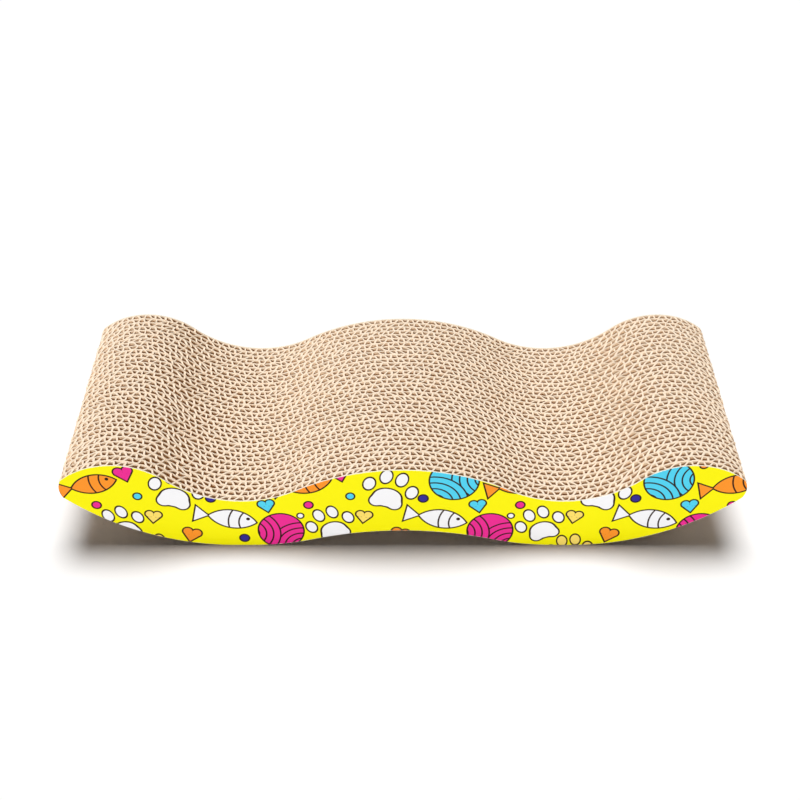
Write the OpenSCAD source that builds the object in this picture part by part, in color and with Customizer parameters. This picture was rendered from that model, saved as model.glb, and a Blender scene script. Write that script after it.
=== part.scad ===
// Wave-shaped cat scratcher made of upright corrugated boards between two printed facing sheets.
// X runs along the length, Y from the front facing to the back one, and Z up from the floor.

/* [Overall] */
// Length from one tip to the other
scratcher_length = 470; // [450:1:490]
// Number of corrugated boards between the two facings
board_count = 35; // [20:1:56]

/* [Top curve] */
// Height of the hump in the middle
hump_height = 69.5; // [62:0.5:74]
// Height of the lowest point of each lying hollow
hollow_height = 41.5; // [36:0.5:46]
// Distance of each lying hollow from the middle
hollow_offset = 111; // [105:0.5:116]
// Height of the crest near each end
crest_height = 73.5; // [68:0.5:79]
// Distance of each crest from the middle
crest_offset = 197.5; // [192:0.5:203]
// Radius of the crest and of the slope down to the tip
crest_radius = 54; // [46:1:64]

/* [Underside] */
// Height of the low arch under the middle
arch_height = 14; // [9:0.5:18]
// Distance of each foot from the middle
foot_offset = 112; // [105:1:119]
// Distance between the inner and the outer arc of a foot
foot_flat = 10; // [6:1:20]
// Radius of the underside on both sides of a foot
foot_radius = 173; // [163:1:186]
// Radius of the blunt tip at each end
tip_radius = 16; // [14:1:24]

/* [Board] */
// Thickness of one corrugated board, liners included
board_thickness = 5.15; // [3:0.05:7]
// Thickness of each flat liner
liner_thickness = 0.4; // [0.2:0.05:0.6]
// Thickness of the fluted paper between the liners
flute_paper = 0.3; // [0.2:0.05:0.5]
// Distance from one flute to the next
flute_pitch = 8.5; // [6:0.1:12]
// Thickness of each printed facing sheet
facing_thickness = 0.5; // [0.3:0.1:1]

/* [Hidden] */
$fn = 96;
half_length = scratcher_length / 2;
stack_depth = board_count * board_thickness;
// How far a cutting shape runs past what it cuts
overrun = board_thickness;

// How far arcs that follow each other overlap, so that they cross cleanly
arc_overlap = 0.06;

// Top curve: the arcs of the hump, the hollows and the crests touch each other
crest_reach = crest_offset - hollow_offset;
crest_rise = crest_height - hollow_height;
hollow_radius = (pow(crest_reach, 2) + pow(crest_rise, 2)) / (2 * crest_rise) - crest_radius;
hump_drop = hump_height - hollow_height;
hump_radius = (pow(hollow_offset, 2) + pow(hump_drop, 2)) / (2 * hump_drop) - hollow_radius;
hump_centre = [0, hump_height - hump_radius];
hollow_centre = [hollow_offset, hollow_height + hollow_radius];
crest_centre = [crest_offset, crest_height - crest_radius];
hump_end = meeting(hump_centre, hump_radius, hollow_centre, hollow_radius);
hollow_end = meeting(crest_centre, crest_radius, hollow_centre, hollow_radius);

// Underside: the arch arc touches the inner arc of each foot, and an outer arc flares up to the tip
foot_inner = foot_offset - foot_flat / 2;
foot_outer = foot_offset + foot_flat / 2;
arch_radius = (pow(foot_inner, 2) + pow(arch_height, 2)) / (2 * arch_height) - foot_radius;
arch_centre = [0, arch_height - arch_radius];
foot_centre_z = foot_radius - arc_overlap;
arch_end = meeting([foot_inner, foot_radius], foot_radius, arch_centre, arch_radius);

// Blunt tip: an arc centred between the ends of the top curve and of the underside
tip_top = crest_centre.y + leg(crest_radius, half_length - crest_offset);
tip_bottom = foot_radius - leg(foot_radius, half_length - foot_outer);
tip_centre = [half_length - tip_radius, (tip_top + tip_bottom) / 2];
// Part of the tip radius over which the tip arc has not yet reached the outline
tip_share = 1 / 3;

// Flutes: triangular cells, wide side on a liner, in two rows half a pitch apart
channel = board_thickness - 2 * liner_thickness;
flute_slant = atan2(flute_pitch / 2, channel);
flute_wall = flute_paper / cos(flute_slant);
cell_half = (flute_pitch - flute_wall) / 2;
cell_depth = channel * (1 - flute_wall / flute_pitch);
cell_count = ceil(scratcher_length / flute_pitch) + 1;
// Share of a pitch by which each board's flutes are shifted against the board in front
shift_share = 0.382;

// Name of a board, counted from the front
function board_name(i) = str("board_", i < 10 ? "0" : "", i);

// Other leg of a right triangle
function leg(hypotenuse, side) = sqrt(pow(hypotenuse, 2) - pow(side, 2));

// Middle of the overlap of two arcs, the second of which is drawn larger by that overlap
function meeting(centre_a, radius_a, centre_b, radius_b) =
    centre_a + (centre_b - centre_a) * (radius_a - arc_overlap / 2) / (radius_a + radius_b);

// A disc of the outline plane, given by its centre right of the middle, on one side
module disc(centre, radius, side = 1) {
    translate([side * centre.x, centre.y]) circle(radius, $fn = 360);
}

// Everything under the top curve
module under_top_curve() {
    difference() {
        union() {
            disc(hump_centre, hump_radius);
            for (side = [-1, 1]) disc(crest_centre, crest_radius, side);
            polygon([
                [-crest_offset, 0], [crest_offset, 0], hollow_end, hump_end,
                [-hump_end.x, hump_end.y], [-hollow_end.x, hollow_end.y]
            ]);
        }
        for (side = [-1, 1]) disc(hollow_centre, hollow_radius + arc_overlap, side);
    }
}

// Everything below the underside
module under_foot_curve() {
    difference() {
        union() {
            disc(arch_centre, arch_radius + arc_overlap);
            translate([-foot_inner, -overrun]) square([2 * foot_inner, arch_end.y + overrun]);
        }
        for (side = [-1, 1]) disc([foot_inner, foot_centre_z], foot_radius, side);
    }
    for (side = [-1, 1])
        difference() {
            translate([side > 0 ? foot_outer : -half_length - overrun, -overrun])
                square([half_length + overrun - foot_outer, foot_centre_z + overrun]);
            disc([foot_outer, foot_centre_z], foot_radius, side);
        }
}

// The room between the floor and the crests, closed by the tip arcs
module between_tips() {
    core = half_length - tip_radius * tip_share;
    translate([-core, 0]) square([2 * core, crest_height]);
    for (side = [-1, 1]) disc(tip_centre, tip_radius, side);
}

// The wave outline that every board and both facings are cut to
module outline() {
    intersection() {
        difference() {
            under_top_curve();
            under_foot_curve();
        }
        between_tips();
    }
}

// The outline as an upright slab, its front face at the given Y
module slab(front_y, thickness) {
    translate([0, front_y + thickness, 0])
        rotate([90, 0, 0])
            linear_extrude(height = thickness) outline();
}

// One flute cell in plan, its wide side on X
module cell() {
    polygon([[-cell_half, 0], [cell_half, 0], [0, cell_depth]]);
}

// A corrugated board in plan, its front face on X, with its flutes shifted by a share of a pitch
module board_plan(shift) {
    difference() {
        translate([-half_length, 0]) square([scratcher_length, board_thickness]);
        for (i = [0:cell_count]) {
            x = -half_length + (i - 1 + shift) * flute_pitch;
            translate([x, liner_thickness]) cell();
            translate([x + flute_pitch / 2, board_thickness - liner_thickness]) mirror([0, 1]) cell();
        }
    }
}

// One corrugated board with its flutes running up and down
module board(i) {
    front_y = -stack_depth / 2 + (i - 1) * board_thickness;
    shift = i * shift_share - floor(i * shift_share);
    color("burlywood")
        intersection() {
            slab(front_y, board_thickness);
            translate([0, front_y, 0]) linear_extrude(height = crest_height) board_plan(shift);
        }
}

module front_facing() {
    color("yellow") slab(-stack_depth / 2 - facing_thickness, facing_thickness);
}

module back_facing() {
    color("yellow") slab(stack_depth / 2, facing_thickness);
}

front_facing();
for (i = [1:board_count])
    board(i);
back_facing();
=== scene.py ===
"""Wave-shaped scratcher of upright corrugated boards between two printed facings, built round its frame."""

import logging
import math
import random
from dataclasses import dataclass, field
from enum import Enum, IntEnum
from typing import Any, Callable

import bmesh
import bpy
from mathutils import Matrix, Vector


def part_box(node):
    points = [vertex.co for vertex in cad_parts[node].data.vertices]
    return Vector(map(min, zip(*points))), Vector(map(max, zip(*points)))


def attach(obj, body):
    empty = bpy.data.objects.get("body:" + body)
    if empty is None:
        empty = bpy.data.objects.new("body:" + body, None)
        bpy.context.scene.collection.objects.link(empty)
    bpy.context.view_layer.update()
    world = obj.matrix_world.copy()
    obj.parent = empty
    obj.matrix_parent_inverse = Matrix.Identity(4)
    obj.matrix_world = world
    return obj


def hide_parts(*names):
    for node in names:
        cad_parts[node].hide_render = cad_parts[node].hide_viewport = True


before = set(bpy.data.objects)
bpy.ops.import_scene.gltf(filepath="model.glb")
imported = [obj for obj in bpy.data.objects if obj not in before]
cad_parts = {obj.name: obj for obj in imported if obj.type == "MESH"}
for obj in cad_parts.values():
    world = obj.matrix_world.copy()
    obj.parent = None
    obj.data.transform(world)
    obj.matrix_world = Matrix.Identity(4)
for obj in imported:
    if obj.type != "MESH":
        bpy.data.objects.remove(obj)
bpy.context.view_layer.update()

LOG = logging.getLogger("scratcher")
MM = 0.001
FLUTE_PITCH = 8.5
TURN = 2 * math.pi
WHITE = (1.0, 1.0, 1.0)

Colour = tuple[float, float, float]
Point = tuple[float, float, float]
PlanPoint = tuple[float, float]
PlanLine = Callable[[float], PlanPoint]


# Outline

@dataclass(frozen=True)
class WaveOutline:
    """The wave that every sheet is cut to, in millimetres, with the same values as the solids.

    Attributes:
        tip_share: part of the tip radius over which the tip arc hasn't yet reached the outline.
        tip_part: part of the columns of a sheet that stand closer together, at both tips together.
        end_trim: how far the last column of a sheet stays from the very tip.
    """

    half_length: float = 235.0
    hump_height: float = 69.5
    hollow_height: float = 41.5
    hollow_offset: float = 111.0
    crest_height: float = 73.5
    crest_offset: float = 197.5
    crest_radius: float = 54.0
    arch_height: float = 14.0
    foot_offset: float = 112.0
    foot_flat: float = 10.0
    foot_radius: float = 173.0
    tip_radius: float = 16.0
    tip_share: float = 1 / 3
    tip_part: float = 0.05
    end_trim: float = 0.02

    @property
    def trimmed(self) -> float:
        """Distance of a sheet's last column from the middle."""
        return self.half_length - self.end_trim

    @property
    def hollow_radius(self) -> float:
        """Radius of the arc of a lying hollow, which touches the crest's arc.

        Returns:
            The radius.
        """
        reach = self.crest_offset - self.hollow_offset
        rise = self.crest_height - self.hollow_height
        return (reach**2 + rise**2) / (2 * rise) - self.crest_radius

    @property
    def hump_radius(self) -> float:
        """Radius of the arc of the middle hump."""
        drop = self.hump_height - self.hollow_height
        return (self.hollow_offset**2 + drop**2) / (2 * drop) - self.hollow_radius

    @property
    def foot_inner(self) -> float:
        """Distance of a foot's inner end from the middle."""
        return self.foot_offset - self.foot_flat / 2

    @property
    def arch_radius(self) -> float:
        """Radius of the low arch under the middle."""
        return (self.foot_inner**2 + self.arch_height**2) / (2 * self.arch_height) - self.foot_radius

    @staticmethod
    def _leg(hypotenuse: float, side: float) -> float:
        """Other leg of a right triangle."""
        return math.sqrt(max(hypotenuse**2 - side**2, 0.0))

    def _crest(self, x: float) -> float:
        """Height of the crest arc at a distance x from the middle."""
        return self.crest_height - self.crest_radius + self._leg(self.crest_radius, x - self.crest_offset)

    def _flare(self, x: float) -> float:
        """Height of the underside between a foot and the tip, at a distance x from the middle."""
        return self.foot_radius - self._leg(self.foot_radius, x - self.foot_offset - self.foot_flat / 2)

    def _tip(self, x: float) -> tuple[float, float]:
        """The room that the blunt tip leaves.

        Args:
            x: distance from the middle.

        Returns:
            The tip's middle height, and how far the sheet may reach up and down from there.
        """
        middle = (self._crest(self.half_length) + self._flare(self.half_length)) / 2
        if x < self.half_length - self.tip_radius * self.tip_share:
            return middle, math.inf
        return middle, self._leg(self.tip_radius, x - self.half_length + self.tip_radius)

    def top(self, x: float) -> float:
        """Height of the top edge.

        Args:
            x: place along the length.

        Returns:
            The height above the floor.
        """
        x = abs(x)
        hump_end = self.hollow_offset * self.hump_radius / (self.hump_radius + self.hollow_radius)
        share = self.crest_radius / (self.crest_radius + self.hollow_radius)
        hollow_end = self.crest_offset - (self.crest_offset - self.hollow_offset) * share
        if x < hump_end:
            height = self.hump_height - self.hump_radius + self._leg(self.hump_radius, x)
        elif x < hollow_end:
            height = self.hollow_height + self.hollow_radius
            height -= self._leg(self.hollow_radius, x - self.hollow_offset)
        else:
            height = self._crest(x)
        middle, reach = self._tip(x)
        return min(height, middle + reach)

    def bottom(self, x: float) -> float:
        """Height of the bottom edge.

        Args:
            x: place along the length.

        Returns:
            The height above the floor, 0 under a foot.
        """
        x = abs(x)
        arch_end = self.foot_inner * self.arch_radius / (self.arch_radius + self.foot_radius)
        if x < arch_end:
            height = self.arch_height - self.arch_radius + self._leg(self.arch_radius, x)
        elif x < self.foot_inner:
            height = self.foot_radius - self._leg(self.foot_radius, self.foot_inner - x)
        elif x < self.foot_inner + self.foot_flat:
            height = 0.0
        else:
            height = self._flare(x)
        middle, reach = self._tip(x)
        return max(height, middle - reach)

    def stations(self, columns: int) -> list[float]:
        """Places along the length, even in the middle and closer together at the tips.

        Args:
            columns: how many steps the length is divided into.

        Returns:
            columns + 1 places from the left tip to the right one.
        """
        slope = self.half_length / (1 - self.tip_part / 2)
        places = []
        for i in range(columns + 1):
            share = 2 * i / columns - 1
            left = 1 - abs(share)
            x = slope * abs(share)
            if left < self.tip_part:
                x = self.half_length - slope / (2 * self.tip_part) * left**2
            places.append(math.copysign(min(x, self.trimmed), share))
        return places


# Unevenness

@dataclass
class Ripple:
    """A smooth uneven line: a sum of three waves with seeded phases."""

    seed: int
    reach: float
    wavelength: float
    waves: list[tuple[float, float]] = field(init=False)

    def __post_init__(self) -> None:
        """Draws the phases."""
        draw = random.Random(self.seed)
        shares = (1.0, 0.63, 0.37)
        self.waves = [(TURN / (self.wavelength * s), draw.uniform(0, TURN)) for s in shares]

    def __call__(self, x: float) -> float:
        """The value at x, between -reach and reach."""
        return self.reach * sum(math.sin(k * x + p) for k, p in self.waves) / len(self.waves)


class Uneven(Enum):
    """What is uneven about the boards: its first seed, its reach and its wavelength in millimetres."""

    SLIP = (300, 1.3, 61.0)
    LEAN = (500, 1.3, 83.0)
    CRUSH = (700, 0.16, 37.0)
    LINER_EDGE = (900, 0.16, 23.0)
    FLUTE_EDGE = (1300, 0.3, 15.0)
    FRAY = (1700, 0.3, 11.0)
    BULGE = (2000, 0.5, 9.6)

    def ripple(self, number: int, share: float = 1.0) -> Ripple:
        """The uneven line of one board, liner or seam.

        Args:
            number: which one it is.
            share: how much of the reach it has.

        Returns:
            Its line, which no other one has.
        """
        seed, reach, wavelength = self.value
        return Ripple(seed + number, reach * share, wavelength)


@dataclass(frozen=True)
class StackWarp:
    """The slight bow of the glued boards, the same for neighbours, and nothing at the two facings.

    Attributes:
        length: how long a bow is along the boards.
        depth: how long it is across them.
        cross_share: strength of a second bow that crosses the first. The next three are its length and
            depth as shares of the first one's, and where it starts, in radians.
    """

    half_depth: float
    reach: float = 0.45
    length: float = 74.0
    depth: float = 47.0
    cross_share: float = 0.6
    cross_length: float = 0.41
    cross_depth: float = 1.7
    cross_phase: float = 1.3

    def __call__(self, x: float, y: float) -> float:
        """The bow at a point of the stack.

        Args:
            x: its place along the length.
            y: its place from front to back.

        Returns:
            How far it lies behind its plane, in millimetres.
        """
        fade = 1 - (y / self.half_depth) ** 2
        crossing = x / (self.length * self.cross_length) - y / (self.depth * self.cross_depth)
        bow = math.sin(TURN * (x / self.length + y / self.depth))
        bow += self.cross_share * math.sin(TURN * crossing + self.cross_phase)
        return self.reach * fade * bow / (1 + self.cross_share)


# Meshes

class Side(IntEnum):
    """The two faces of a sheet."""

    FRONT = 0
    BACK = 1


Heights = tuple[float, float, float, float]
SheetPlan = Callable[[int, Side, bool], PlanPoint]


class UprightSheet:
    """A flat strip raised in three steps, which every paper is bent from."""

    steps = 3

    def __init__(self, columns: int) -> None:
        """Makes the strip once.

        Args:
            columns: how many faces it has along its length.
        """
        self.columns = columns
        bm = bmesh.new()
        bmesh.ops.create_grid(bm, x_segments=columns, y_segments=1, size=0.5)
        face_row = list(bm.faces)
        for step in range(self.steps):
            made = bmesh.ops.extrude_face_region(bm, geom=face_row, use_keep_orig=step == 0)
            raised = [e for e in made["geom"] if isinstance(e, bmesh.types.BMVert)]
            face_row = [e for e in made["geom"] if isinstance(e, bmesh.types.BMFace)]
            bmesh.ops.translate(bm, verts=raised, vec=(0, 0, 1))
        bm.normal_update()
        cut = bm.faces.layers.float.new("cut")
        for face in bm.faces:
            is_wall = abs(face.normal.y) > 0.5
            face[cut] = 0.0 if is_wall else 1.0
        self.strip = bpy.data.meshes.new("upright_strip")
        bm.to_mesh(self.strip)
        bm.free()

    def add(self, bm: bmesh.types.BMesh, heights: list[Heights], plan: SheetPlan) -> list[bmesh.types.BMVert]:
        """Adds one sheet to a mesh, bends it, and marks how far its vertices are from its cut edges.

        Args:
            bm: the mesh that gets the sheet, with the attributes depth and rise.
            heights: the four heights of each column, in millimetres.
            plan: gives the place in plan of a side of a column, at the rims or between them.

        Returns:
            The new vertices.
        """
        depth, rise = (bm.verts.layers.float[name] for name in ("depth", "rise"))
        first = len(bm.verts)
        bm.from_mesh(self.strip)
        bm.verts.ensure_lookup_table()
        added = bm.verts[first:]
        for vert in added:
            column = round((vert.co.x + 0.5) * self.columns)
            side = Side.BACK if vert.co.y > 0 else Side.FRONT
            level = round(vert.co.z)
            height = heights[column][level]
            x, y = plan(column, side, level in (0, self.steps))
            vert.co = Vector((x, y, height)) * MM
            vert[depth] = heights[column][-1] - height
            vert[rise] = height - heights[column][0]
        return added


def finish_piece(
    name: str, bm: bmesh.types.BMesh, material: bpy.types.Material, node: str,
) -> bpy.types.Object:
    """Turns a finished mesh into a piece that stands for a CAD node.

    Args:
        name: the piece's name.
        bm: its mesh, which is freed.
        material: its finish.
        node: the CAD node that it stands for.

    Returns:
        The piece, riding on the body root.
    """
    bmesh.ops.recalc_face_normals(bm, faces=bm.faces)
    mesh = bpy.data.meshes.new(name)
    bm.to_mesh(mesh)
    bm.free()
    piece = bpy.data.objects.new(name, mesh)
    bpy.context.scene.collection.objects.link(piece)
    mesh.materials.append(material)
    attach(piece, "root")
    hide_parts(node)
    LOG.info("%s: %d faces", name, len(mesh.polygons))
    return piece


# Shader nodes

class Value:
    """A number socket. An expression on it adds Math nodes."""

    def __init__(self, shader: "Shader", socket: bpy.types.NodeSocket) -> None:
        """Wraps a socket of a shader."""
        self.shader = shader
        self.socket = socket

    def math(self, operation: str, *others: "Value | float", clamp: bool = False) -> "Value":
        """Adds a Math node with this value first.

        Args:
            operation: the node's operation.
            others: its other inputs.
            clamp: whether the result is held between 0 and 1.

        Returns:
            The node's result.
        """
        settings = {"operation": operation, "use_clamp": clamp}
        node = self.shader.node("Math", settings, dict(enumerate((self, *others))))
        return Value(self.shader, node.outputs[0])

    def __add__(self, other: "Value | float") -> "Value":
        """Sum."""
        return self.math("ADD", other)

    def __sub__(self, other: "Value | float") -> "Value":
        """Difference."""
        return self.math("SUBTRACT", other)

    def __rsub__(self, other: float) -> "Value":
        """Difference from a number."""
        return self.math("MULTIPLY_ADD", -1.0, other)

    def __mul__(self, other: "Value | float") -> "Value":
        """Product."""
        return self.math("MULTIPLY", other)

    def __truediv__(self, other: "Value | float") -> "Value":
        """Quotient."""
        return self.math("DIVIDE", other)

    def __abs__(self) -> "Value":
        """Size without sign."""
        return self.math("ABSOLUTE")

    __radd__ = __add__
    __rmul__ = __mul__

    def nearer(self, other: "Value | float") -> "Value":
        """The lower of two values, which joins two shapes."""
        return self.math("MINIMUM", other)

    def common(self, other: "Value | float") -> "Value":
        """The higher of two values, which keeps what two shapes share."""
        return self.math("MAXIMUM", other)

    def melted(self, other: "Value", reach: float) -> "Value":
        """The lower of two values, which joins two shapes with a rounded inner corner."""
        return self.math("SMOOTH_MIN", other, reach)

    def held(self) -> "Value":
        """The value held between 0 and 1."""
        return self.math("ADD", 0.0, clamp=True)

    def between(self, low: float, high: float) -> "Value":
        """0 at low, 1 at high, and a straight line between them."""
        span = 1 / (high - low)
        return self.math("MULTIPLY_ADD", span, -low * span, clamp=True)


@dataclass(frozen=True)
class Noise:
    """A cloudy noise.

    Attributes:
        per_metre: how many clouds fit in a metre.
        detail: how many finer layers it has.
        rough: how strong the finer layers are.
    """

    per_metre: float
    detail: float = 2.0
    rough: float = 0.5


class Shader:
    """The node tree of a material or a world, and the few ways in which nodes are added to it."""

    def __init__(self, holder: bpy.types.Material | bpy.types.World) -> None:
        """Empties the tree.

        Args:
            holder: the material or the world.
        """
        holder.use_nodes = True
        self.holder = holder
        self.tree = holder.node_tree
        self.tree.nodes.clear()

    def node(self, kind: str, settings: dict[str, Any], inputs: dict[int | str, Any]) -> bpy.types.ShaderNode:
        """Adds a node.

        Args:
            kind: its type without the leading ShaderNode.
            settings: its properties, set before its inputs.
            inputs: values or links of its sockets, by index or name.

        Returns:
            The node.
        """
        node = self.tree.nodes.new("ShaderNode" + kind)
        for key, value in settings.items():
            setattr(node, key, value)
        for key, value in inputs.items():
            socket = value.socket if isinstance(value, Value) else value
            if isinstance(socket, bpy.types.NodeSocket):
                self.tree.links.new(socket, node.inputs[key])
            else:
                node.inputs[key].default_value = socket
        return node

    def place(self) -> bpy.types.NodeSocket:
        """Object coordinates, in metres."""
        return self.node("TexCoord", {}, {}).outputs["Object"]

    def axes(self, vector: bpy.types.NodeSocket) -> tuple[Value, Value, Value]:
        """The three numbers of a vector."""
        outputs = self.node("SeparateXYZ", {}, {0: vector}).outputs
        return Value(self, outputs[0]), Value(self, outputs[1]), Value(self, outputs[2])

    def vector(self, x: Value | float, y: Value | float) -> bpy.types.NodeSocket:
        """A flat vector from two numbers."""
        return self.node("CombineXYZ", {}, {0: x, 1: y}).outputs[0]

    def stretched(self, vector: bpy.types.NodeSocket, by: Point) -> bpy.types.NodeSocket:
        """A vector with each of its numbers multiplied by one of its own."""
        return self.node("VectorMath", {"operation": "MULTIPLY"}, {0: vector, 1: by}).outputs[0]

    def distance(self, vector: bpy.types.NodeSocket, x: float, y: float) -> Value:
        """Distance of a flat vector from a fixed point."""
        node = self.node("VectorMath", {"operation": "DISTANCE"}, {0: vector, 1: (x, y, 0.0)})
        return Value(self, node.outputs["Value"])

    def attribute(self, name: str) -> Value:
        """A number that the mesh carries."""
        return Value(self, self.node("Attribute", {"attribute_name": name}, {}).outputs["Fac"])

    def noise(self, vector: bpy.types.NodeSocket, kind: Noise) -> Value:
        """Reads a noise at a vector, as a value round 0.5."""
        inputs = {"Vector": vector, "Scale": kind.per_metre, "Detail": kind.detail, "Roughness": kind.rough}
        return Value(self, self.node("TexNoise", {}, inputs).outputs[0])

    def seen(self) -> Value:
        """Tells what is seen from what only lights a matt surface.

        Returns:
            1 for the eye, a reflection or a clear body, and 0 otherwise.
        """
        rays = self.node("LightPath", {}, {}).outputs
        names = ("Is Camera Ray", "Is Glossy Ray", "Is Transmission Ray")
        camera, glossy, clear = (Value(self, rays[name]) for name in names)
        return camera.common(glossy).common(clear)

    def mix(self, share: Value | float, a: Any, b: Any, blend: str = "MIX") -> bpy.types.NodeSocket:
        """Mixes two colours.

        Args:
            share: how much of b shows.
            a: the first colour, three numbers or a link.
            b: the second colour, three numbers or a link.
            blend: how they are mixed.

        Returns:
            The mixed colour's socket.
        """
        full = [c if isinstance(c, bpy.types.NodeSocket) else (*c, 1.0) for c in (a, b)]
        settings = {"data_type": "RGBA", "blend_type": blend}
        return self.node("Mix", settings, {0: share, 6: full[0], 7: full[1]}).outputs[2]

    def close(self, surface: bpy.types.NodeSocket) -> bpy.types.Material:
        """Links the surface to the output and returns the material."""
        self.node("OutputMaterial", {}, {"Surface": surface})
        return self.holder

    def paper(self, colour: Any, rough: Any, relief: Value, depth: float, gloss: float) -> bpy.types.Material:
        """Ends the tree with a paper-like surface.

        Args:
            colour: base colour.
            rough: roughness.
            relief: height of the fine relief.
            depth: how deep that relief is, in metres.
            gloss: specular level.

        Returns:
            The finished material.
        """
        bump = self.node("Bump", {}, {"Strength": 1.0, "Distance": depth, "Height": relief}).outputs[0]
        inputs = {"Base Color": colour, "Roughness": rough, "Normal": bump, "Specular IOR Level": gloss}
        return self.close(self.node("BsdfPrincipled", {}, inputs).outputs[0])


def ink(red: int, green: int, blue: int) -> Colour:
    """A colour as shaders take it.

    Args:
        red: its red part on screen, up to 255.
        green: its green part.
        blue: its blue part.

    Returns:
        The linear colour.
    """
    def linear(part: int) -> float:
        """One part of it."""
        share = part / 255
        return share / 12.92 if share <= 0.04045 else ((share + 0.055) / 1.055) ** 2.4
    return linear(red), linear(green), linear(blue)


# Kraft paper

@dataclass(frozen=True)
class KraftFinish:
    """Brown kraft paper with pale, fuzzy cut edges, and painted light on the walls just under them.

    Attributes:
        fibre_stretch: how much finer the fibres are along each axis.
        wall_clouds: how much the clouds and a paper's own tone lighten a wall, and what is taken off.
        fleck_range: noise at which a fleck starts, and at which it is full.
        cut_range: noise over which a cut edge goes from dark to light.
        painted_light_range: depths in millimetres over which a wall goes from the cut edge's pale colour, a
            painted light standing in for the light that reaches into the top of the cells, to its own colour;
            painted_light_share is how much of that pale colour it takes at the top.
        rough_range: noise over which the roughness rises.
        relief: depth of the fibres, in metres.
    """

    cut_light: Colour = ink(253, 237, 216)
    cut_dark: Colour = ink(249, 223, 193)
    wall_light: Colour = ink(254, 218, 167)
    wall_dark: Colour = ink(246, 200, 142)
    fleck: Colour = ink(140, 98, 60)
    fibres: Noise = Noise(620, 4, 0.65)
    fibre_stretch: Point = (1.0, 1.0, 3.0)
    clouds: Noise = Noise(45, 3)
    wall_clouds: tuple[float, float, float] = (0.7, 0.6, 0.15)
    flecks: Noise = Noise(410, 2, 0.8)
    fleck_range: tuple[float, float] = (0.68, 0.76)
    fleck_share: float = 0.55
    cut_range: tuple[float, float] = (0.35, 0.62)
    painted_light_range: tuple[float, float] = (0.1, 4.0)
    painted_light_share: float = 0.85
    rough_range: tuple[float, float] = (0.2, 0.8)
    rough_least: float = 0.84
    rough_span: float = 0.12
    relief: float = 0.00012
    gloss: float = 0.2

    def material(self) -> bpy.types.Material:
        """Builds the material, which reads the attributes cut, depth, rise and tone.

        Returns:
            The material.
        """
        shader = Shader(bpy.data.materials.new("kraft_paper"))
        place = shader.place()
        fibre = shader.noise(shader.stretched(place, self.fibre_stretch), self.fibres)
        from_cloud, from_tone, taken_off = self.wall_clouds
        cloud = shader.noise(place, self.clouds)
        shade = (cloud * from_cloud + shader.attribute("tone") * from_tone - taken_off).held()
        wall = shader.mix(shade, self.wall_dark, self.wall_light)
        flecks = shader.noise(place, self.flecks).between(*self.fleck_range) * self.fleck_share
        wall = shader.mix(flecks, wall, self.fleck)
        cut = shader.mix(fibre.between(*self.cut_range), self.cut_dark, self.cut_light)
        depth = shader.attribute("depth").nearer(shader.attribute("rise"))
        # Painted light: near the rim the walls take the cut edge's pale colour, fading with depth, in place
        # of the light that falls into the top of the cells.
        painted_light = (1 - depth.between(*self.painted_light_range)) * self.painted_light_share
        colour = shader.mix((shader.attribute("cut") + painted_light).held(), wall, cut)
        rough = fibre.between(*self.rough_range) * self.rough_span + self.rough_least
        return shader.paper(colour, rough, fibre, self.relief, self.gloss)


# Print

class Motif(Enum):
    """The printed motifs."""

    PAW = "paw"
    FISH = "fish"
    YARN = "yarn"
    HEART = "heart"
    DOT = "dot"


Drawn = tuple[Value, Value | None]


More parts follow.
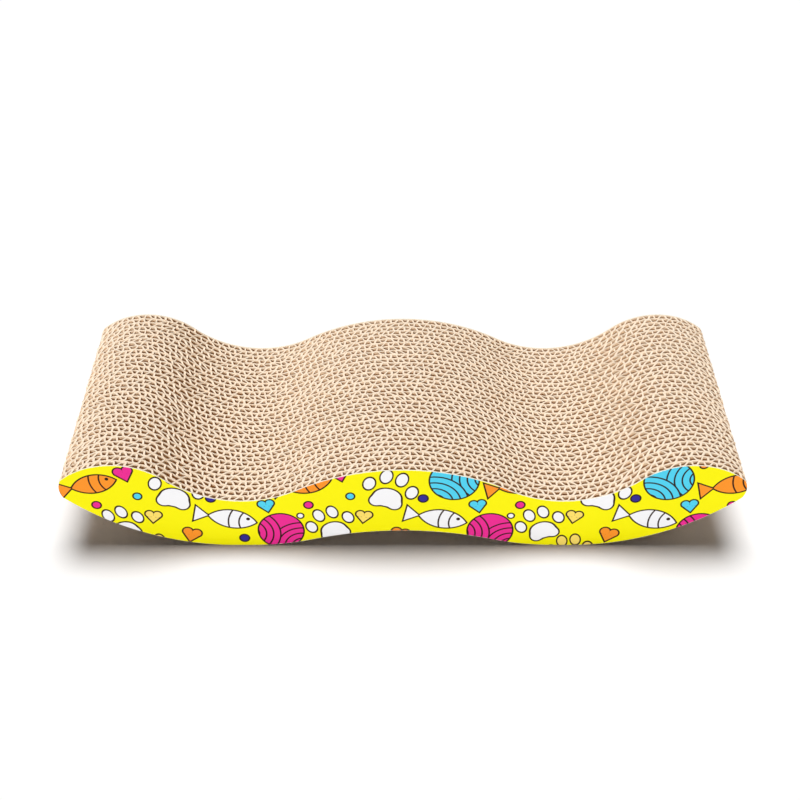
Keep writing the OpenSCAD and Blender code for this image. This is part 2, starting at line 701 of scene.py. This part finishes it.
class Pen:
    """Draws the motifs. All its sizes and places are in half widths of the motif."""

    def __init__(self, shader: Shader, local: bpy.types.NodeSocket) -> None:
        """Takes a material and a place on the motif."""
        self.shader = shader
        self.local = local

    def _from(self, x: float, z: float) -> Value:
        """Distance from a point of the motif."""
        return self.shader.distance(self.local, x, z)

    def _oval(self, across: Value, z: Value, middle: PlanPoint, radius: float, narrow: float = 1.0) -> Value:
        """Distance from a disc that stands for both sides, or from an oval.

        Args:
            across: place across the motif, without its sign where the oval is mirrored.
            z: height on the motif.
            middle: the middle of the oval, once it is as wide as high.
            radius: half its height.
            narrow: how much narrower than high it is.

        Returns:
            The distance, below 0 inside it.
        """
        across = across if narrow == 1.0 else across * narrow
        return self.shader.distance(self.shader.vector(across, z), *middle) - radius

    def _paw(self) -> Drawn:
        """Draws a paw print: a lobed pad and four toes.

        Returns:
            Distance from its shape, and no lines.
        """
        x, z, _ = self.shader.axes(self.local)
        side = abs(x)
        toe_scale = 0.8
        pad = self._oval(x, z, middle=(0.0, -0.32), radius=0.42, narrow=0.82)
        pad = pad.melted(self._oval(side, z, middle=(0.33, -0.55), radius=0.25), reach=0.16)
        inner = self._oval(side, z, middle=(0.40, 0.58), radius=0.31, narrow=1.45) * toe_scale
        outer = self._oval(side, z, middle=(1.02, 0.12), radius=0.29, narrow=1.35) * toe_scale
        return pad.nearer(inner).nearer(outer), None

    def _fish(self) -> Drawn:
        """Draws a plain fish with its nose to the right.

        Returns:
            Distance from its shape, and from its eye and the two lines across its body.
        """
        x, z, _ = self.shader.axes(self.local)
        height = abs(z)
        tail_root, tail_end, steep, flat = 0.52, 1.0, 0.84, 0.62
        tail = (height * steep + (x + tail_root) * flat).common(-tail_end - x)
        shape = self._oval(x, height, middle=(0.22, -0.62), radius=1.0).melted(tail, reach=0.05)
        gill, stripe = (abs(self._from(1.05, 0.0) - radius) for radius in (0.62, 0.95))
        eye_radius = 0.035
        eye = self._from(0.70, 0.10) - eye_radius
        return shape, gill.nearer(stripe).common(shape).nearer(eye)

    def _yarn(self) -> Drawn:
        """Draws a ball of yarn with strands wound in two ways.

        Returns:
            Distance from its shape, and from its strands.
        """
        half_gap, low_start, low_end, high_start = 0.155, 1.42, 1.45, 1.6
        ball = self._dot()[0]
        low = self._from(-1.15, -0.85)
        high = self._from(1.25, -0.35)
        low_strands, high_strands = (abs(c.math("PINGPONG", half_gap) - half_gap) for c in (low, high))
        low_strands = low_strands.common(low - low_start)
        high_strands = high_strands.common(low_end - low).common(high - high_start)
        return ball, low_strands.nearer(high_strands).common(ball)

    def _heart(self) -> Drawn:
        """Draws a heart: two round lobes, a point below them and a disc that fills the middle.

        Returns:
            Distance from its shape, and no lines.
        """
        x, z, _ = self.shader.axes(self.local)
        side = abs(x)
        point_low, point_top, steep, flat, core_radius = 0.95, 0.03, 0.773, 0.635, 0.3
        lobe = self._oval(side, z, middle=(0.42, 0.35), radius=0.5)
        point = (side * steep - (z + point_low) * flat).common(z - point_top)
        core = self._from(0.0, 0.0) - core_radius
        return lobe.nearer(point).nearer(core), None

    def _dot(self) -> Drawn:
        """Draws a dot, and returns the distance from it and no lines."""
        return self._from(0.0, 0.0) - 1.0, None

    def draw(self, kind: Motif) -> Drawn:
        """Draws a motif.

        Args:
            kind: which one.

        Returns:
            Distance from its shape, below 0 inside it, and from the lines on it, if it has any.
        """
        ways = {
            Motif.PAW: self._paw, Motif.FISH: self._fish, Motif.YARN: self._yarn,
            Motif.HEART: self._heart, Motif.DOT: self._dot,
        }
        return ways[kind]()


class Fill(Enum):
    """The inks that fill motifs."""

    WHITE = ink(250, 250, 253)
    CYAN = ink(84, 214, 245)
    PINK = ink(240, 46, 150)
    ORANGE = ink(255, 152, 44)
    CREAM = ink(255, 226, 110)
    NAVY = ink(52, 44, 150)


@dataclass(frozen=True)
class Print:
    """One motif of the repeat: its kind, middle, half width in millimetres, turn in degrees and ink."""

    kind: Motif
    x: float
    z: float
    size: float
    turn: float
    fill: Fill


REPEAT = (
    Print(Motif.PAW, 22, 51, 20, -16, Fill.WHITE),
    Print(Motif.YARN, 66, 60, 17, 20, Fill.CYAN),
    Print(Motif.FISH, 108, 56, 21, 14, Fill.ORANGE),
    Print(Motif.HEART, 134, 66, 7.5, 14, Fill.PINK),
    Print(Motif.PAW, 127, 20, 18, 20, Fill.WHITE),
    Print(Motif.FISH, 54, 26, 22, -12, Fill.WHITE),
    Print(Motif.YARN, 92, 14, 16, -30, Fill.PINK),
    Print(Motif.HEART, 29, 10, 7.5, -16, Fill.ORANGE),
    Print(Motif.HEART, 83, 37, 6.5, 10, Fill.CYAN),
    Print(Motif.PAW, 3, -5, 17, 8, Fill.CREAM),
    Print(Motif.HEART, 4, 27, 6.5, -8, Fill.CREAM),
    Print(Motif.DOT, 46, 74, 3.2, 0, Fill.WHITE),
    Print(Motif.DOT, 45, 44, 3.4, 0, Fill.NAVY),
    Print(Motif.DOT, 88, 74, 3.0, 0, Fill.ORANGE),
    Print(Motif.DOT, 112, 38, 3.2, 0, Fill.PINK),
    Print(Motif.DOT, 106, 28, 2.4, 0, Fill.WHITE),
    Print(Motif.DOT, 66, 7, 3.4, 0, Fill.NAVY),
    Print(Motif.DOT, 141, 46, 3.0, 0, Fill.CYAN),
)


@dataclass(frozen=True)
class PrintFinish:
    """Bright sheet printed with a repeat of plain motifs, with pale cut edges.

    Attributes:
        start: where a repeat begins along the sheet, in millimetres, as are the sizes of the print.
        mottle: how much the clouds and the whole sheet take of the mottle tint.
        wear_range: distances from the cut edge between which the ink is worn.
        wear_grain: how unevenly it is worn.
        flute_share: how much of the relief is the flutes that show through the sheet.
        relief: depth of the relief, in metres.
    """

    name: str
    start: float
    repeat: float = 146.0
    ground: Colour = ink(255, 247, 6)
    line: Colour = ink(48, 27, 18)
    edge: Colour = ink(250, 244, 226)
    line_width: float = 1.15
    softness: float = 0.12
    grain: Noise = Noise(900, 3, 0.6)
    clouds: Noise = Noise(24, 2)
    mottle: tuple[float, float] = (0.08, 0.02)
    mottle_tint: Colour = (0.95, 0.87, 0.6)
    wear_range: tuple[float, float] = (0.12, 0.34)
    wear_grain: float = 0.9
    wear_share: float = 0.85
    grain_share: float = 0.35
    flute_share: float = 0.3
    rough_most: float = 0.46
    rough_clouds: float = 0.1
    relief: float = 0.00004
    gloss: float = 0.1

    def _local(self, shader: Shader, x: Value, z: Value, motif: Print) -> bpy.types.NodeSocket:
        """The sheet's coordinates seen from a motif.

        Args:
            shader: the material that gets the nodes.
            x: place along the sheet, in millimetres.
            z: height on the sheet, in millimetres.
            motif: the motif.

        Returns:
            Place on the motif, in half widths of it.
        """
        half = self.repeat / 2
        across = (x - motif.x).math("WRAP", half, -half)
        inputs = {
            0: shader.vector(across, z),
            "Location": (0.0, motif.z, 0.0),
            "Rotation": (0.0, 0.0, math.radians(motif.turn)),
            "Scale": (motif.size, motif.size, 1.0),
        }
        return shader.node("Mapping", {"vector_type": "TEXTURE"}, inputs).outputs[0]

    def _artwork(self, shader: Shader, x: Value, z: Value) -> bpy.types.NodeSocket:
        """The printed colour: the ground, the filled motifs and their outlines.

        Args:
            shader: the material that gets the nodes.
            x: place along the sheet, in millimetres.
            z: height on the sheet, in millimetres.

        Returns:
            The colour's socket.
        """
        fills: dict[Fill, Value] = {}
        outline: Value | None = None
        for motif in REPEAT:
            shape, strokes = Pen(shader, self._local(shader, x, z, motif)).draw(motif.kind)
            away = shape * motif.size
            fills[motif.fill] = fills[motif.fill].nearer(away) if motif.fill in fills else away
            lines = abs(away)
            if strokes is not None:
                lines = lines.nearer(strokes * motif.size)
            outline = lines if outline is None else outline.nearer(lines)
        colour: Any = self.ground
        for fill, away in fills.items():
            colour = shader.mix(1 - away.between(-self.softness, self.softness), colour, fill.value)
        half_line = self.line_width / 2
        bare = outline.between(half_line - self.softness, half_line + self.softness)
        return shader.mix(1 - bare, colour, self.line)

    def material(self) -> bpy.types.Material:
        """Builds the material, which reads the attributes printed, depth and rise.

        Returns:
            The material.
        """
        shader = Shader(bpy.data.materials.new(self.name))
        place = shader.place()
        x, _, z = shader.axes(place)
        colour = self._artwork(shader, x / MM - self.start, z / MM)
        grain = shader.noise(place, self.grain)
        cloud = shader.noise(place, self.clouds)
        mottle = (cloud - 0.5) * self.mottle[0] + self.mottle[1]
        colour = shader.mix(mottle, colour, self.mottle_tint, "MULTIPLY")
        from_cut = shader.attribute("depth").nearer(shader.attribute("rise"))
        worn = from_cut + (grain - 0.5) * self.wear_grain
        wear = (1 - worn.between(*self.wear_range)) * self.wear_share
        colour = shader.mix((shader.attribute("printed") * (1 - wear)).held(), self.edge, colour)
        flute = (x * (TURN / (FLUTE_PITCH * MM))).math("SINE")
        relief = grain * self.grain_share + flute * self.flute_share
        rough = self.rough_most - cloud * self.rough_clouds
        return shader.paper(colour, rough, relief, self.relief, self.gloss)


# Boards

@dataclass(frozen=True)
class LinerPath:
    """Middle line of a liner in plan, which the flutes push about."""

    y: float
    bulge: Ripple

    def __call__(self, x: float) -> PlanPoint:
        """The point of the line at x."""
        return x, self.y + self.bulge(x)


@dataclass(frozen=True)
class FlutePath:
    """Middle line of a fluted paper in plan: steep waves that slip, lean and are crushed here and there.

    Attributes:
        start: where its flutes are counted from.
        middle: the middle of the board, from front to back.
        reach: how far the line goes from there.
        squareness: how steep its sides and how flat its crests are.
        tilt: how far all the crests lean along the board.
        bulges: how far the front and the back seam push it about.
    """

    start: float
    middle: float
    reach: float
    squareness: float
    tilt: float
    slip: Ripple
    lean: Ripple
    crush: Ripple
    bulges: list[Ripple]

    def __call__(self, x: float) -> PlanPoint:
        """The point that x on a straight line is bent to.

        Args:
            x: place along the length.

        Returns:
            The point.
        """
        phase = TURN * (x - self.start + self.slip(x)) / FLUTE_PITCH
        wave = math.tanh(self.squareness * math.cos(phase)) / math.tanh(self.squareness)
        wave *= 1 - abs(self.crush(x)) * (0.5 - 0.5 * math.cos(phase * 0.5))
        pushed = self.bulges[Side.FRONT](x) * (1 - wave) / 2 + self.bulges[Side.BACK](x) * (1 + wave) / 2
        return x + (self.tilt + self.lean(x)) * wave, self.middle + self.reach * wave + pushed


@dataclass(frozen=True)
class Paper:
    """One paper of a board, before a strip is bent to it.

    Attributes:
        path: its middle line in plan.
        places: where its columns stand along that line.
        half: half its thickness.
        rims: offsets of its front and back face on the cut edge, where the blade has spread it, from
            how squarely the paper crosses the board there, 0 to 1.
        edge: how far its top stays under the outline, at a place along the length.
        tone: its shade, from 0 to 1.
    """

    path: PlanLine
    places: list[float]
    half: float
    rims: Callable[[float], tuple[float, float]]
    edge: Callable[[float], float]
    tone: float


@dataclass(frozen=True)
class Column:
    """One column of a bent paper: its point and normal in plan, and the offsets of its walls and rims."""

    x: float
    y: float
    normal: PlanPoint
    walls: tuple[float, float]
    rims: list[float]

    def at(self, side: Side, at_rim: bool) -> PlanPoint:
        """The point in plan of one of its sides, at the rims or between them."""
        offset = (self.rims if at_rim else self.walls)[side]
        return self.x + self.normal[0] * offset, self.y + self.normal[1] * offset


@dataclass
class Board:
    """One corrugated board: a fluted paper between two liners, all standing upright, in millimetres.

    Attributes:
        number: its place in the stack, from 1 at the front, of count boards.
        shift_share: how far its flutes are shifted against those of the board in front, in pitches.
        lip: how far down the spread of a cut rim reaches.
        lip_share: the most of a low paper's height that a lip takes.
        least_height: the height that a paper keeps at the very tip.
        flare: how far a rim spreads on each side where the fluted paper crosses the board.
        crest_flare: the same where it runs along a liner.
        liner_flare: how far a liner's rim spreads, on its inner side.
        squareness: how steep the flutes are.
        glue_gap: half the gap that is left between two boards.
        most_sink: the most that a board's top stays under the outline.
        most_lift: the most that its bottom stays above it.
        liner_sink: how much further down the liners' tops are.
        most_tilt: the most that all of its flutes lean along the board.
        fine_steps: how finely a path is measured, in steps for each column.
    """

    number: int
    count: int
    outline: WaveOutline
    warp: StackWarp
    front: float
    thickness: float
    liner: float = 0.3
    paper: float = 0.5
    shift_share: float = 0.382
    lip: float = 1.5
    lip_share: float = 0.45
    least_height: float = 0.2
    flare: float = 0.45
    crest_flare: float = 0.25
    liner_flare: float = 0.33
    squareness: float = 2.4
    glue_gap: float = 0.01
    most_sink: float = 0.22
    most_lift: float = 0.3
    liner_sink: float = 0.22
    most_tilt: float = 0.7
    tone_spread: float = 0.3
    fine_steps: int = 5
    seed: int = 100

    @property
    def node(self) -> str:
        """The CAD node that the board stands for."""
        return f"board_{self.number:02d}"

    def _bulge(self, seam: int) -> Ripple:
        """How the flutes push one glue seam about. The seams at the facings are flat."""
        inner = 0 < seam < self.count
        return Uneven.BULGE.ripple(seam, 1.0 if inner else 0.0)

    def _tone(self, draw: random.Random, shade: float) -> float:
        """Draws a paper's own shade near its board's."""
        return min(max(shade + draw.uniform(-self.tone_spread, self.tone_spread), 0.0), 1.0)

    def _heights(self, x: float, drop: float, lift: float) -> Heights:
        """The four heights of a paper.

        Args:
            x: place along the length.
            drop: how far its top stays under the outline.
            lift: how far its bottom stays above the outline.

        Returns:
            Its bottom, the inner ends of its two cut lips, and its top.
        """
        low = self.outline.bottom(x) + lift
        high = max(self.outline.top(x) - drop, low + self.least_height)
        lip = min(self.lip, (high - low) * self.lip_share)
        return low, low + lip, high - lip, high

    def _even_places(self, path: PlanLine, columns: int) -> list[float]:
        """Places at which a bent paper has gone equally far along itself.

        Args:
            path: its middle line in plan.
            columns: how many steps it is divided into.

        Returns:
            columns + 1 places along the length.
        """
        count = columns * self.fine_steps
        fine = [self.outline.trimmed * (2 * i / count - 1) for i in range(count + 1)]
        line = [path(x) for x in fine]
        gone = [0.0]
        for before, after in zip(line, line[1:]):
            gone.append(gone[-1] + math.dist(before, after))
        places = []
        k = 0
        for i in range(columns + 1):
            wanted = gone[-1] * i / columns
            while k < count - 1 and gone[k + 1] < wanted:
                k += 1
            places.append(fine[k] + (fine[k + 1] - fine[k]) * (wanted - gone[k]) / (gone[k + 1] - gone[k]))
        return places

    def _columns(self, paper: Paper, fray: Ripple) -> list[Column]:
        """Works out where the columns of a paper stand.

        Args:
            paper: the paper.
            fray: how unevenly the blade has spread its rims.

        Returns:
            Its columns from left to right.
        """
        line = [paper.path(x) for x in paper.places]
        walls = (-paper.half, paper.half)
        columns = []
        for i, (x, y) in enumerate(line):
            before, after = line[max(i - 1, 0)], line[min(i + 1, len(line) - 1)]
            along = math.dist(before, after)
            normal = (-(after[1] - before[1]) / along, (after[0] - before[0]) / along)
            x = max(-self.outline.trimmed, min(self.outline.trimmed, x))
            rims = [offset * (1 + fray(x)) for offset in paper.rims(normal[0] ** 2)]
            columns.append(Column(x, y, normal, walls, rims))
        return columns

    def _add_paper(
        self, bm: bmesh.types.BMesh, sheet: UprightSheet, paper: Paper, lift: float, fray: Ripple,
    ) -> None:
        """Adds one paper and its attributes.

        Args:
            bm: the board's mesh.
            sheet: the strip that is bent.
            paper: the paper.
            lift: how far its bottom stays above the outline.
            fray: how unevenly the blade has spread its rims.
        """
        columns = self._columns(paper, fray)
        heights = [self._heights(c.x, paper.edge(c.x), lift) for c in columns]
        limit = self.outline.half_length

        def plan(column: int, side: Side, at_rim: bool) -> PlanPoint:
            """Where a vertex of the strip goes in plan."""
            x, y = columns[column].at(side, at_rim)
            return max(-limit, min(limit, x)), y + self.warp(x, y)

        tone = bm.verts.layers.float["tone"]
        for vert in sheet.add(bm, heights, plan):
            vert[tone] = paper.tone

    def _liner(self, side: Side, bulge: Ripple, places: list[float], sink: float, tone: float) -> Paper:
        """One of the two liners.

        Args:
            side: whether it is the front or the back one.
            bulge: how the flutes push its seam about.
            places: where its columns stand along the length.
            sink: how far the board's top stays under the outline.
            tone: its shade.

        Returns:
            The liner.
        """
        half = self.liner / 2
        drop = Uneven.LINER_EDGE.ripple(2 * self.number + side)
        if side is Side.FRONT:
            y = self.front + half + self.glue_gap
            rims = (-half, half + self.liner_flare)
        else:
            y = self.front + self.thickness - half - self.glue_gap
            rims = (-half - self.liner_flare, half)
        path = LinerPath(y, bulge)
        return Paper(path, places, half, lambda _: rims, lambda x: sink + self.liner_sink + drop(x), tone)

    def _fluted(self, bulges: list[Ripple], columns: int, tilt: float, sink: float, tone: float) -> Paper:
        """The fluted paper.

        Args:
            bulges: how the flutes push the front and the back seam about.
            columns: how many steps it is divided into.
            tilt: how far all its crests lean along the board.
            sink: how far the board's top stays under the outline.
            tone: its shade.

        Returns:
            The fluted paper.
        """
        half = self.paper / 2
        drop = Uneven.FLUTE_EDGE.ripple(self.number)
        path = FlutePath(
            start=-self.outline.half_length + (self.number * self.shift_share % 1.0) * FLUTE_PITCH,
            middle=self.front + self.thickness / 2,
            reach=self.thickness / 2 - self.liner - half,
            squareness=self.squareness,
            tilt=tilt,
            slip=Uneven.SLIP.ripple(self.number),
            lean=Uneven.LEAN.ripple(self.number),
            crush=Uneven.CRUSH.ripple(self.number),
            bulges=bulges,
        )

        def rims(across: float) -> tuple[float, float]:
            """The rim's offsets, which are widest where the paper crosses the board."""
            reach = half + self.crest_flare + (self.flare - self.crest_flare) * across
            return -reach, reach

        places = self._even_places(path, columns)
        return Paper(path, places, half, rims, lambda x: sink + abs(drop(x)), tone)

    def build(self, flat: UprightSheet, wavy: UprightSheet, material: bpy.types.Material) -> bpy.types.Object:
        """Builds the board's three papers as one glued piece.

        Args:
            flat: the strip for the liners.
            wavy: the finer strip for the fluted paper.
            material: the kraft finish.

        Returns:
            The piece.
        """
        bm = bmesh.new()
        for name in ("depth", "tone", "rise"):
            bm.verts.layers.float.new(name)
        bm.faces.layers.float.new("cut")
        draw = random.Random(self.seed + self.number)
        sink = draw.uniform(0.0, self.most_sink)
        lift = draw.uniform(0.0, self.most_lift)
        shade = draw.random()
        tilt = draw.uniform(-self.most_tilt, self.most_tilt)
        fray = Uneven.FRAY.ripple(self.number)
        bulges = [self._bulge(self.number - 1), self._bulge(self.number)]
        places = self.outline.stations(flat.columns)
        for side in Side:
            liner = self._liner(side, bulges[side], places, sink, self._tone(draw, shade))
            self._add_paper(bm, flat, liner, lift, fray)
        fluted = self._fluted(bulges, wavy.columns, tilt, sink, self._tone(draw, shade))
        self._add_paper(bm, wavy, fluted, lift, fray)
        return finish_piece(f"corrugated_{self.number:02d}", bm, material, self.node)


@dataclass
class BoardStack:
    """The glued stack of corrugated boards between the facings."""

    outline: WaveOutline
    finish: KraftFinish
    flat_columns: int = 380
    wavy_columns: int = 800

    def build(self) -> list[bpy.types.Object]:
        """Builds every board where its CAD node is.

        Returns:
            The pieces, from front to back.
        """
        names = sorted(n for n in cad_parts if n.startswith("board_"))
        half_depth = -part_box(names[0])[0][1] / MM
        warp = StackWarp(half_depth)
        material = self.finish.material()
        flat = UprightSheet(self.flat_columns)
        wavy = UprightSheet(self.wavy_columns)
        pieces = []
        for name in names:
            low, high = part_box(name)
            front, thickness = low[1] / MM, (high[1] - low[1]) / MM
            board = Board(int(name[-2:]), len(names), self.outline, warp, front, thickness)
            pieces.append(board.build(flat, wavy, material))
        return pieces


# Facings

@dataclass
class Facing:
    """One printed sheet glued on the front or the back of the stack.

    Attributes:
        printed: its side that is printed.
        rounding: how far the printed side's cut edges are rounded, in millimetres.
        reach_share: how far from the printed plane a face may be to be printed, in roundings.
    """

    name: str
    node: str
    printed: Side
    outline: WaveOutline
    finish: PrintFinish
    columns: int = 420
    rounding: float = 0.14
    reach_share: float = 1.5

    def _mark_print(self, bm: bmesh.types.BMesh, shown: float) -> None:
        """Marks the faces that carry the print.

        Args:
            bm: the sheet's mesh.
            shown: place of its printed face from front to back, in metres.
        """
        printed = bm.faces.layers.float.new("printed")
        reach = self.rounding * MM * self.reach_share
        for face in bm.faces:
            face[printed] = 1.0 if all(abs(v.co.y - shown) < reach for v in face.verts) else 0.0

    def build(self) -> bpy.types.Object:
        """Builds the sheet, which throws no yellow light on the floor.

        Returns:
            The piece.
        """
        low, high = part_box(self.node)
        walls = [low[1] / MM, high[1] / MM]
        rims = list(walls)
        rims[self.printed] += self.rounding if self.printed is Side.FRONT else -self.rounding
        places = self.outline.stations(self.columns)
        edges = [(self.outline.bottom(x), self.outline.top(x)) for x in places]
        heights = [(bottom, bottom + self.rounding, top - self.rounding, top) for bottom, top in edges]

        def plan(column: int, side: Side, at_rim: bool) -> PlanPoint:
            """Where a vertex of the strip goes in plan."""
            return places[column], (rims if at_rim else walls)[side]

        bm = bmesh.new()
        bm.verts.layers.float.new("depth")
        bm.verts.layers.float.new("rise")
        UprightSheet(self.columns).add(bm, heights, plan)
        self._mark_print(bm, walls[self.printed] * MM)
        piece = finish_piece(self.name, bm, self.finish.material(), self.node)
        piece.visible_diffuse = False
        return piece


# Studio

@dataclass(frozen=True)
class FloorFinish:
    """Matt white floor that shows as white wherever nothing shades it.

    Attributes:
        albedo: how much light it throws on the object.
        shown: how bright it is to the eye and in reflections.
        mottle: how uneven it is.
    """

    albedo: float = 0.96
    shown: float = 1.28
    clouds: Noise = Noise(3.0)
    mottle: float = 0.004

    def material(self) -> bpy.types.Material:
        """Builds the material.

        Returns:
            The material.
        """
        shader = Shader(bpy.data.materials.new("floor_white"))
        tone = (shader.noise(shader.place(), self.clouds) - 0.5) * self.mottle + self.albedo
        tone = tone + shader.seen() * (self.shown - self.albedo)
        colour = shader.node("VectorMath", {"operation": "SCALE"}, {0: WHITE, "Scale": tone}).outputs[0]
        return shader.close(shader.node("BsdfDiffuse", {}, {"Color": colour}).outputs[0])


@dataclass(frozen=True)
class Lamp:
    """A wide, soft lamp.

    Attributes:
        name: its name.
        towards: the direction in which it stands.
        level: the brightness that it gives a white surface facing it.
        softness: the angle in degrees over which its light comes.
    """

    name: str
    towards: Point
    level: float
    softness: float

    def build(self, spared: bpy.types.Object | None = None) -> None:
        """Adds the lamp.

        Args:
            spared: an object that it doesn't light.
        """
        light = bpy.data.lights.new(self.name, "SUN")
        light.energy = self.level * math.pi
        light.angle = math.radians(self.softness)
        lamp = bpy.data.objects.new(self.name, light)
        lamp.rotation_euler = Vector(self.towards).to_track_quat("Z", "Y").to_euler()
        bpy.context.scene.collection.objects.link(lamp)
        if spared is not None:
            unlit = bpy.data.collections.new(f"spared_by_{self.name}")
            unlit.objects.link(spared)
            unlit.collection_objects[0].light_linking.link_state = "EXCLUDE"
            lamp.light_linking.receiver_collection = unlit


@dataclass
class Studio:
    """Plain floor, soft light and the camera.

    Attributes:
        floor_reach: how far the floor reaches from the middle, in metres.
        sky: how much light the sky gives.
        key: the lamp that casts the shadow, a little behind straight above.
        fill: the lamp that lights the front and the cells, and spares the floor.
        far: how far the camera sees, in metres.
        eye: where the camera is, in millimetres.
        pitch: how far it looks down, in degrees.
    """

    floor_finish: FloorFinish
    floor_reach: float = 12.0
    floor_parts: int = 8
    sky: float = 0.045
    sky_tint: Colour = (1.0, 0.93, 0.86)
    key: Lamp = Lamp("key", (0.0, 0.22, 0.976), 0.77, 32)
    fill: Lamp = Lamp("front_fill", (-0.17, -0.90, 0.40), 0.65, 8)
    focal: float = 63.0
    sensor: float = 36.0
    far: float = 60.0
    eye: Point = (-1.9, -809.8, 685.3)
    pitch: float = 37.70

    def _floor(self) -> bpy.types.Object:
        """Builds the floor.

        Returns:
            The floor.
        """
        bm = bmesh.new()
        parts = self.floor_parts
        bmesh.ops.create_grid(bm, x_segments=parts, y_segments=parts, size=self.floor_reach)
        mesh = bpy.data.meshes.new("studio_floor")
        bm.to_mesh(mesh)
        bm.free()
        mesh.materials.append(self.floor_finish.material())
        floor = bpy.data.objects.new("studio_floor", mesh)
        bpy.context.scene.collection.objects.link(floor)
        return floor

    def _sky(self) -> None:
        """Sets the world: white to the eye, and a low even light on the object."""
        world = bpy.data.worlds.new("studio_sky")
        shader = Shader(world)
        seen = shader.seen()
        colour = shader.mix(seen, self.sky_tint, WHITE)
        strength = seen * (1.0 - self.sky) + self.sky
        background = shader.node("Background", {}, {"Color": colour, "Strength": strength})
        shader.node("OutputWorld", {}, {"Surface": background.outputs[0]})
        bpy.context.scene.world = world

    def _camera(self) -> None:
        """Adds the camera at the photograph's place."""
        camera = bpy.data.cameras.new("camera")
        camera.lens = self.focal
        camera.sensor_width = self.sensor
        camera.clip_end = self.far
        eye = bpy.data.objects.new("camera", camera)
        eye.location = Vector(self.eye) * MM
        eye.rotation_euler = (math.radians(90 - self.pitch), 0, 0)
        bpy.context.scene.collection.objects.link(eye)
        bpy.context.scene.camera = eye

    def build(self) -> None:
        """Builds the whole studio."""
        floor = self._floor()
        self._sky()
        self.key.build()
        self.fill.build(spared=floor)
        self._camera()
        bpy.context.scene.view_settings.view_transform = "Standard"


def main() -> None:
    """Builds the pieces in order and reports them."""
    logging.basicConfig(level=logging.INFO, format="%(name)s: %(message)s")
    outline = WaveOutline()
    stack = BoardStack(outline, KraftFinish()).build()
    LOG.info("stack: %d boards", len(stack))
    front = PrintFinish("print_front", start=-31.0)
    Facing("printed_front", "front_facing", Side.FRONT, outline, front).build()
    back = PrintFinish("print_back", start=22.0)
    Facing("printed_back", "back_facing", Side.BACK, outline, back).build()
    Studio(FloorFinish()).build()
    LOG.info("studio: floor, two lamps and the camera")


if __name__ == "__main__":
    main()
